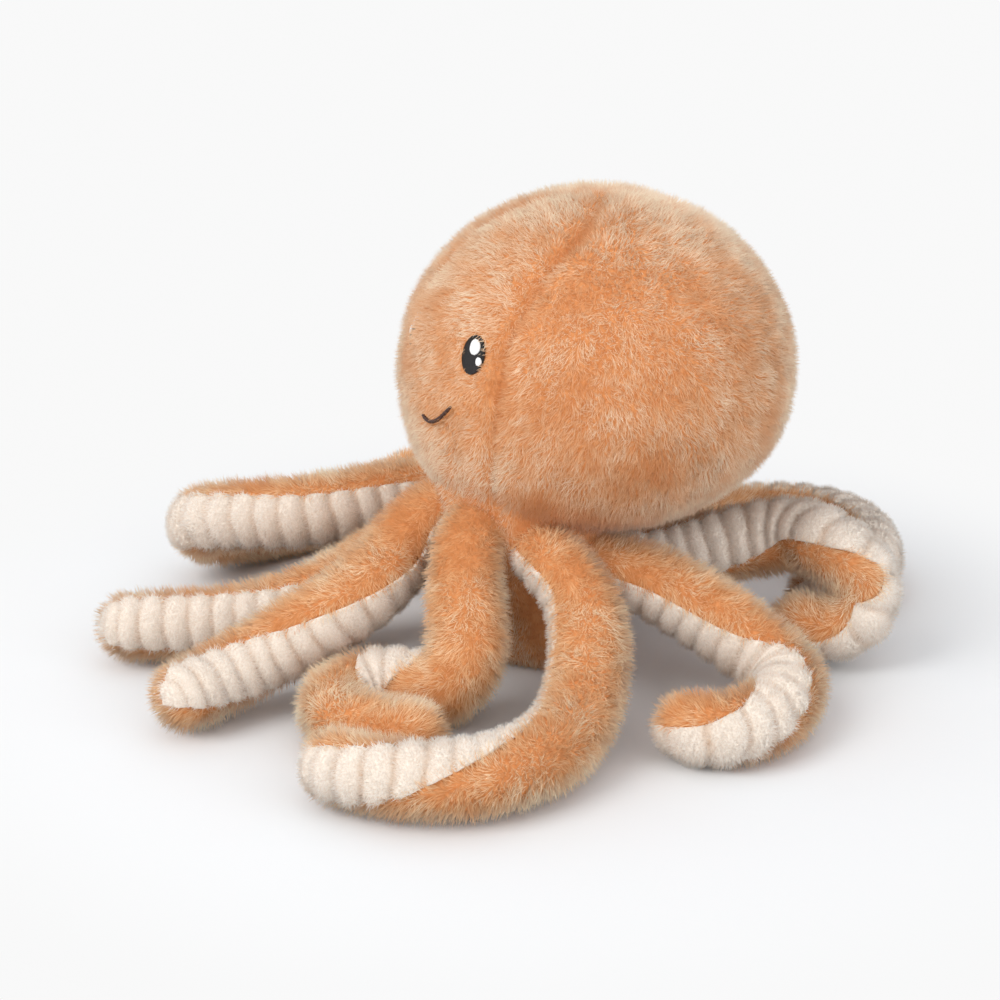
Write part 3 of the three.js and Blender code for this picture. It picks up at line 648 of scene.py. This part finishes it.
# Per arm: its turn from the face, then across and back as shares of the
# reach, lift as a share of the neck height, and the turn of the orange top.
ROUTE_SHARES = {
    "left_arm_1": (22.5, [
        (0.14, -0.335, 0.57, 0), (0.205, -0.365, 0.41, -10), (0.265, -0.405, 0.23, -40),
        (0.275, -0.455, 0.06, -90), (0.22, -0.485, 0, -140), (0.135, -0.525, 0, -185), (0.1, -0.61, 0, -240),
        (0.135, -0.695, 0, -285), (0.22, -0.73, 0, -315), (0.31, -0.705, 0, -335), (0.385, -0.64, 0, -335),
        (0.43, -0.57, 0, -335)]),
    "left_arm_2": (67.5, [
        (0.265, -0.145, 0.63, -45), (0.34, -0.13, 0.47, -48), (0.425, -0.175, 0.28, -52),
        (0.505, -0.245, 0.13, -60), (0.585, -0.345, 0.04, -80), (0.645, -0.46, 0.03, -105),
        (0.66, -0.595, 0.03, -140), (0.61, -0.725, 0.03, -190), (0.525, -0.805, 0.03, -250),
        (0.445, -0.855, 0.03, -268), (0.36, -0.89, 0.03, -275)]),
    "left_arm_3": (112.5, [
        (0.28, 0.07, 0.48, -40), (0.375, 0.14, 0.35, -47), (0.48, 0.195, 0.22, -56), (0.575, 0.23, 0.1, -80),
        (0.655, 0.24, 0.03, -130), (0.735, 0.14, 0, -185), (0.77, 0.01, 0, -245), (0.75, -0.08, 0, -292),
        (0.695, -0.115, 0, -312), (0.62, -0.1, 0, -325)]),
    "left_arm_4": (157.5, [
        (0.135, 0.285, 0.33, -110), (0.22, 0.43, 0.42, -130), (0.34, 0.54, 0.52, -155),
        (0.455, 0.52, 0.53, -165), (0.51, 0.575, 0.43, -200), (0.545, 0.585, 0.25, -250),
        (0.54, 0.545, 0.08, -300), (0.485, 0.475, 0.03, -340), (0.43, 0.43, 0.05, -345),
        (0.385, 0.415, 0.13, -345)]),
    "right_arm_4": (-157.5, [
        (-0.14, 0.3, 0.24, 30), (-0.19, 0.49, 0.11, 60), (-0.21, 0.67, 0.05, 90), (-0.17, 0.84, 0.04, 120),
        (-0.06, 0.95, 0.06, 140), (0.08, 0.97, 0.06, 150), (0.21, 0.9, 0.04, 135), (0.29, 0.79, 0.01, 115),
        (0.31, 0.67, 0, 105), (0.27, 0.57, 0, 105)]),
    "right_arm_3": (-112.5, [
        (-0.31, 0.04, 0.51, 64), (-0.43, -0.005, 0.49, 74), (-0.565, -0.365, 0.42, 85),
        (-0.665, -0.46, 0.37, 95), (-0.78, -0.535, 0.3, 102), (-0.84, -0.53, 0.2, 100),
        (-0.885, -0.44, 0.08, 98), (-0.895, -0.31, 0, 95), (-0.89, -0.13, 0, 95), (-0.87, 0.075, 0.09, 100),
        (-0.815, 0.23, 0.24, 110)]),
    "right_arm_2": (-67.5, [
        (-0.245, -0.31, 0.32, 75), (-0.275, -0.41, 0.2, 85), (-0.295, -0.525, 0.11, 95),
        (-0.34, -0.64, 0.05, 108), (-0.425, -0.79, 0.03, 118), (-0.53, -0.96, 0.03, 122)]),
    "right_arm_1": (-22.5, [
        (-0.09, -0.35, 0.57, 45), (-0.03, -0.51, 0.42, 56), (-0.055, -0.625, 0.27, 68),
        (-0.085, -0.73, 0.14, 88), (-0.09, -0.86, 0.04, 122), (-0.045, -1.035, 0.03, 150)]),
}


def spline(points, count):
    """A smooth curve through points of any number of values, as evenly spaced ones, and its length."""
    p = np.vstack([2 * points[0] - points[1], points, 2 * points[-1] - points[-2]])
    pieces = []
    for i in range(len(points) - 1):
        p0, p1, p2, p3 = p[i:i + 4]
        g0, g1, g2 = (max(np.linalg.norm((b - a)[:3]) ** 0.5, 1e-5)
                      for a, b in ((p0, p1), (p1, p2), (p2, p3)))
        m1 = ((p1 - p0) / g0 - (p2 - p0) / (g0 + g1) + (p2 - p1) / g1) * g1
        m2 = ((p2 - p1) / g1 - (p3 - p1) / (g1 + g2) + (p3 - p2) / g2) * g1
        t = np.linspace(0, 1, 40, endpoint=i == len(points) - 2)[:, None]
        pieces.append(p1 + m1 * t + (3 * (p2 - p1) - 2 * m1 - m2) * t ** 2
                      + (2 * (p1 - p2) + m1 + m2) * t ** 3)
    fine = np.vstack(pieces)
    far = np.concatenate([[0], np.cumsum(np.linalg.norm(np.diff(fine[:, :3], axis=0), axis=1))])
    even = np.linspace(0, far[-1], count)
    return np.stack([np.interp(even, far, fine[:, k]) for k in range(fine.shape[1])], 1), far[-1]


class ArmForm:
    """The stuffed tube of one arm: centreline, radius and the turn of its orange top."""

    def __init__(self, turn, shares):
        out = np.array([math.sin(turn), -math.cos(turn), 0])
        root = neck_ring(np.array(turn)) - [0, 0, ROOT_RADIUS + ROOT_GAP]
        inside = root - out * ROOT_INSIDE + [0, 0, NECK_SLOPE / 4]
        points = [[x * ARM_REACH, y * ARM_REACH, TIP_RADIUS + lift * NECK_HEIGHT, math.radians(roll)]
                  for x, y, lift, roll in shares]
        first = math.radians(shares[0][3])
        # The route through its points, then one point per rib, eased twice against sharp turns
        chosen = np.array([[*inside, first], [*root, first], *points])
        _, length = spline(chosen, 10)
        eased, _ = spline(chosen, round(length / RIB_PITCH) + 1)
        for _ in range(2):
            eased[1:-1] = (eased[:-2] + 2 * eased[1:-1] + eased[2:]) / 4
        _, self.length = spline(eased, 10)
        self.line, _ = spline(eased, LINE_POINTS)
        self.at = np.linspace(0, self.length, LINE_POINTS)
        tangent = unit(np.gradient(self.line[:, :3], axis=0))
        side = unit(np.cross(tangent, [0, 0, 1.0]))
        rise = np.cross(side, tangent)
        roll = self.line[:, 3:4]
        self.top = rise * np.cos(roll) + side * np.sin(roll)
        self.across = np.cross(tangent, self.top)
        self.tangent = tangent
        # The bend keeps the inner side of a tight curl from folding over itself
        reach = RIB_PITCH * 0.75
        self.bend = (self.pick(tangent, self.at + reach) - self.pick(tangent, self.at - reach)) / (2 * reach)
        self.root = root

    def pick(self, values, along):
        """The values at these lengths along the arm."""
        return np.stack([np.interp(along, self.at, values[:, k]) for k in range(3)], -1)

    def radius(self, along):
        """How thick the arm is at these lengths, as a radius."""
        share = along / self.length
        return (ROOT_RADIUS + (MID_RADIUS - ROOT_RADIUS) * smooth_step(share, 0.05, 0.3)
                - (MID_RADIUS - TIP_RADIUS) * smooth_step(share, 0.35, 1))

    def surface(self, base, dome, angles, inset):
        """Points, outward ways and ways to the tip, for rows at lengths, with the tip's dome angles."""
        radius = self.radius(base)[:, None] - inset
        along = base + radius.mean(1) * np.sin(dome)
        centre, top, across = (self.pick(v, along) for v in (self.line[:, :3], self.top, self.across))
        bend, ahead = self.pick(self.bend, along), self.pick(self.tangent, along)
        out = unit(top[:, None] * np.cos(angles)[None, :, None]
                   + across[:, None] * np.sin(angles)[None, :, None])
        tight = np.maximum((out * bend[:, None]).sum(-1), 1e-6)
        reach = np.minimum(radius, TIGHTEST / tight - inset) * np.cos(dome)[:, None]
        points = centre[:, None] + out * np.maximum(reach, 0)[..., None]
        points[..., 2] = np.maximum(points[..., 2], TOP_FLOOR_GAP)
        facing = unit(out * np.cos(dome)[:, None, None] + ahead[:, None] * np.sin(dome)[:, None, None])
        return points, facing, np.repeat(ahead[:, None], len(angles), 1)


def rib_cloth():
    """Cream plush: soft ribs with painted shade in their furrows, and a short nap."""
    cloth, tree, shader = new_material("cream_ribbed_plush", roughness=0.9, shine=0.15, sheen=0.35)
    links = tree.links
    where = tree.nodes.new("ShaderNodeTexCoord")
    nap = add_node(tree, "ShaderNodeTexNoise", {"Scale": 900, "Detail": 4})
    soft = add_node(tree, "ShaderNodeTexNoise", {"Scale": 130, "Detail": 2})
    height = add_node(tree, "ShaderNodeMath", operation="ADD")
    bump = add_node(tree, "ShaderNodeBump", {"Strength": 0.6, "Distance": 0.0006})
    crest = add_node(tree, "ShaderNodeAttribute", attribute_name="crest")
    # Painted shade: the colour darkens from each rib's crest into its furrows
    ramp = colour_ramp(tree, (0.0, linear(216, 184, 156)), (0.55, linear(240, 229, 216)))
    tint = add_node(tree, "ShaderNodeMix", {"Factor": 1}, data_type="RGBA", blend_type="MULTIPLY")
    fleck = colour_ramp(tree, (0.3, (0.86, 0.84, 0.82, 1)), (0.6, (1, 1, 1, 1)))
    for noise_node in (nap, soft):
        links.new(where.outputs["Object"], noise_node.inputs["Vector"])
    links.new(nap.outputs["Fac"], height.inputs[0])
    links.new(soft.outputs["Fac"], height.inputs[1])
    links.new(height.outputs[0], bump.inputs["Height"])
    links.new(bump.outputs["Normal"], shader.inputs["Normal"])
    links.new(crest.outputs["Fac"], ramp.inputs["Fac"])
    links.new(ramp.outputs["Color"], tint.inputs["A"])
    links.new(nap.outputs["Fac"], fleck.inputs["Fac"])
    links.new(fleck.outputs["Color"], tint.inputs["B"])
    links.new(tint.outputs["Result"], shader.inputs["Base Color"])
    return cloth


cream_cloth = rib_cloth()
seam_angle = math.pi - CREAM_HALF_ANGLE
arm_fur = pile_material("arm_fur", linear(214, 144, 90), linear(220, 142, 82),
                        linear(244, 194, 144), linear(255, 240, 208), sheen=0.6)
arm_settings = {"Strands per square metre": 1.1e6, "Length": 0.0070, "Width": 0.00024,
                "Lean": 0.8, "Tuft": 1.0, "Pile": arm_fur}
cream_nap = pile_material("cream_nap", linear(232, 211, 192), linear(232, 207, 184),
                          linear(244, 233, 222), linear(252, 247, 240), sheen=0.4)
nap_settings = {"Strands per square metre": 1.3e6, "Length": 0.0031, "Width": 0.0002,
                "Lean": 0.6, "Tuft": 0.7, "Pile": cream_nap}


def cloth_rows(straight, row, dome_rows):
    """Rows of cloth down an arm and over its tip: their lengths and their dome angles."""
    plain = np.linspace(CLOTH_START, straight, round((straight - CLOTH_START) / row))
    dome = np.linspace(0, math.pi / 2, dome_rows + 1)[1:]
    lengths = np.concatenate([plain, np.full(len(dome), straight)])
    return lengths, np.concatenate([np.zeros(len(plain)), dome])


for number, (name, (degrees, shares)) in enumerate(ROUTE_SHARES.items()):
    arm = ArmForm(math.radians(degrees), shares)
    straight = arm.length - TIP_RADIUS

    # The orange top: two layers of backing and the pile, combed outwards over the seams
    base, domes = cloth_rows(straight, TOP_ROW, TOP_DOME_ROWS)
    angles = np.linspace(-seam_angle, seam_angle, TOP_COLUMNS)
    skin, facing, ahead = arm.surface(base, domes, angles, TOP_INSET)
    lining, _, _ = arm.surface(base, domes, angles, LINING_INSET)
    top_mesh = finish_mesh(grid_mesh(name + "_top_backing", skin, lining))
    top_cloth = show(name + "_top_backing", top_mesh, orange_backing)
    edge = np.abs(angles) / seam_angle
    outward = np.cross(ahead, facing) * np.sign(angles)[None, :, None]
    comb = ahead * 0.75 + outward * (1.1 * smooth_step(edge, 0.7, 1))[None, :, None]
    growth = np.ones(skin.shape[:2])
    # Painted shade: the pile is darker near the arm's root, under the head
    root_shade = -0.04 - 0.2 * (1 - smooth_step(base, 0.03, 0.06))
    tone = np.repeat(root_shade[:, None], len(angles), 1)
    fur = grow_pile(name + "_top_fur", skin, facing, comb, growth, growth, tone,
                    {**arm_settings, "Seed": TOP_SEED + number})

    # The cream underside: ribs with furrows drawn in between them, and the short nap on it
    base, domes = cloth_rows(straight, UNDER_ROW, UNDER_DOME_ROWS)
    angles = np.linspace(seam_angle, 2 * math.pi - seam_angle, UNDER_COLUMNS)
    face_points, facing, ahead_under = arm.surface(base, domes, angles, UNDER_INSET)
    lining, _, _ = arm.surface(base, domes, angles, LINING_INSET)
    sway = (RIB_SWAY * np.sin(base[:, None] * 75 + 2.3 * angles + number)
            * np.cos(base[:, None] * 33 - 1.1 * angles))
    wave = np.abs(np.sin(math.pi * ((base + TIP_RADIUS * domes)[:, None] + sway) / RIB_PITCH)) ** 0.7
    wave = 1 - (1 - wave) * np.cos(domes)[:, None] ** 0.6
    face_points = face_points - facing * (RIB_DEPTH * (1 - wave))[..., None]
    face_points[..., 2] = np.maximum(face_points[..., 2], RIB_FLOOR_GAP)
    rib_mesh = grid_mesh(name + "_underside_ribs", face_points, lining)
    # The crest value, 0 in a furrow and 1 on a crest, carries the painted furrow shade
    crest_layer = rib_mesh.attributes.new("crest", "FLOAT", "POINT")
    crest_values = np.concatenate([wave.ravel(), np.ones(lining.size // 3)]).astype(np.float32)
    crest_layer.data.foreach_set("value", crest_values)
    under_cloth = show(name + "_underside_ribs", finish_mesh(rib_mesh), cream_cloth)
    nap_comb = facing * 0 + 0.25 * ahead_under
    # Painted shade: the nap is darker in the furrows between the ribs
    furrow_shade = (wave - 0.55) * 0.6
    even = np.ones(face_points.shape[:2])
    nap = grow_pile(name + "_underside_nap", face_points, facing, nap_comb, even, even, furrow_shade,
                    {**nap_settings, "Seed": UNDER_SEED + number})

    # Each arm piece has its placing baked into its mesh
    for piece, slot, fill in ((top_cloth, "orange_pile", 0.9), (fur, "orange_pile", None),
                              (under_cloth, "cream_ribbed_pile", 0.9), (nap, "cream_ribbed_pile", None)):
        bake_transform(piece)
    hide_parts(name + "_top", name + "_stuffing")
    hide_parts(name + "_underside")

# Embroidered face
# Satin stitch on the face panel: a black oval for each eye with two white
# highlights, and a dark brown line for the smile, all sewn through the cloth.

STITCH_PITCH, STITCH_SIDES, STITCH_POINTS = 0.00048, 6, 9
STITCH_SWELL, STITCH_HALF_HEIGHT, STITCH_HALF_WIDTH = 0.0005, 0.00032, 0.0003
EYE_LIFT, HIGHLIGHT_LIFT, FAR_EYE_SINK = 0.0006, 0.0012, 0.0006
GLINT_WIDTH, GLINT_HEIGHT, GLINT_ACROSS, GLINT_UP = 0.0062, 0.0072, 0.0006, EYE_HEIGHT * 0.2
SPARK_WIDTH, SPARK_HEIGHT, SPARK_ACROSS, SPARK_UP = 0.0034, 0.0038, EYE_WIDTH * 0.33, -EYE_HEIGHT * 0.12
SMILE_POINTS, SMILE_SIDES, SMILE_LIFT, SMILE_HALF_WIDTH = 41, 10, 0.0024, 0.0009


def thread(name, colour):
    """Polished embroidery thread: a soft line of light along each stitch."""
    yarn, tree, shader = new_material(name, roughness=0.42, shine=0.4)
    where = tree.nodes.new("ShaderNodeTexCoord")
    noise = add_node(tree, "ShaderNodeTexNoise", {"Scale": 2600})
    darker = tuple(0.75 * c for c in colour[:3]) + (1,)
    ramp = colour_ramp(tree, (0.0, darker), (1.0, colour))
    tree.links.new(where.outputs["Object"], noise.inputs["Vector"])
    tree.links.new(noise.outputs["Fac"], ramp.inputs["Fac"])
    tree.links.new(ramp.outputs["Color"], shader.inputs["Base Color"])
    return yarn


def on_face(turn, down, lift):
    """A point over the face panel's cloth."""
    out, _ = body_frame(turn, down)
    return body_point(turn, down) + out * (lift - BACKING_DEPTH)[..., None]


def satin_oval(name, turn, down, across, up, width, height, lift, material):
    """Side by side stitches that fill an oval, each a flattened thread a little raised in its middle."""
    sides, steps = STITCH_SIDES, STITCH_POINTS
    count = max(int(height / STITCH_PITCH), 4)
    points, faces = [], []
    for k in range(count):
        v = (k + 0.5) / count * 2 - 1
        half = width / 2 * math.sqrt(1 - v * v)
        u = np.linspace(-half, half, steps)
        turns = turn + (across + u) / face_girth
        downs = np.full(steps, down - (up + v * height / 2) / face_fall)
        swell = lift + STITCH_SWELL * np.sqrt(np.clip(1 - (u / (width / 2)) ** 2 - v * v * 0.5, 0, 1))
        middle = on_face(turns, downs, swell)
        out, way = body_frame(turns, downs)
        out, way = out.reshape(-1, 3), way.reshape(-1, 3)
        for s in range(sides):
            angle = 2 * math.pi * s / sides
            points.append(middle + out * math.cos(angle) * STITCH_HALF_HEIGHT
                          + way * math.sin(angle) * STITCH_HALF_WIDTH)
        first = k * sides * steps
        for s in range(sides):
            for t in range(steps - 1):
                a, b = first + s * steps + t, first + (s + 1) % sides * steps + t
                faces.append((a, b, b + 1, a + 1))
        faces.append(tuple(first + s * steps for s in reversed(range(sides))))
        faces.append(tuple(first + s * steps + steps - 1 for s in range(sides)))
    mesh = bpy.data.meshes.new(name)
    mesh.from_pydata(np.concatenate(points).tolist(), [], faces)
    piece = show(name, finish_mesh(mesh), material)
    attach(piece, "body")
    return piece


black_thread = thread("black_thread", linear(34, 30, 30))
white_thread = thread("white_thread", linear(250, 249, 248))
brown_thread = thread("brown_thread", linear(66, 38, 30))
for side, sign in (("left", 1), ("right", -1)):
    turn = EYE_TURNS[side]
    sunk = FAR_EYE_SINK if side == "right" else 0
    eye = satin_oval(side + "_eye_stitches", turn, EYE_DOWN, 0, 0, EYE_WIDTH, EYE_HEIGHT,
                     EYE_LIFT - sunk, black_thread)
    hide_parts(side + "_eye")
    glint = satin_oval(side + "_eye_glint_stitches", turn, EYE_DOWN, sign * GLINT_ACROSS, GLINT_UP,
                       GLINT_WIDTH, GLINT_HEIGHT, HIGHLIGHT_LIFT - sunk, white_thread)
    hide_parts(side + "_eye_glint")
    spark = satin_oval(side + "_eye_spark_stitches", turn, EYE_DOWN, sign * SPARK_ACROSS, SPARK_UP,
                       SPARK_WIDTH, SPARK_HEIGHT, HIGHLIGHT_LIFT - sunk, white_thread)
    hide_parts(side + "_eye_spark")

# The smile: one thick round thread, thinner to its ends and a little uneven
smile_share = np.linspace(-1, 1, SMILE_POINTS)
smile_turns = MOUTH_TURN + smile_share * MOUTH_WIDTH / 2 / face_girth
smile_downs = smile_down(smile_share)
smile_middle = on_face(smile_turns, smile_downs, np.full(SMILE_POINTS, SMILE_LIFT))
smile_out, _ = body_frame(smile_turns, smile_downs)
smile_way = unit(np.gradient(smile_middle, axis=0))
smile_side = np.cross(smile_out, smile_way)
ring_angles = np.linspace(0, 2 * math.pi, SMILE_SIDES + 1)[:-1]
thick = SMILE_HALF_WIDTH * (0.55 + 0.45 * np.sqrt(np.clip(1 - smile_share ** 8, 0, 1)))
thick = thick * (1 + 0.16 * np.sin(np.arange(SMILE_POINTS) * 2.1))
smile_grid = (smile_middle[:, None] + (smile_out[:, None] * np.cos(ring_angles)[None, :, None]
              + smile_side[:, None] * np.sin(ring_angles)[None, :, None]) * thick[:, None, None])
mouth_mesh = finish_mesh(grid_mesh("mouth_stitches", smile_grid, wrapped=True))
mouth = show("mouth_stitches", mouth_mesh, brown_thread)
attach(mouth, "body")
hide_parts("mouth")
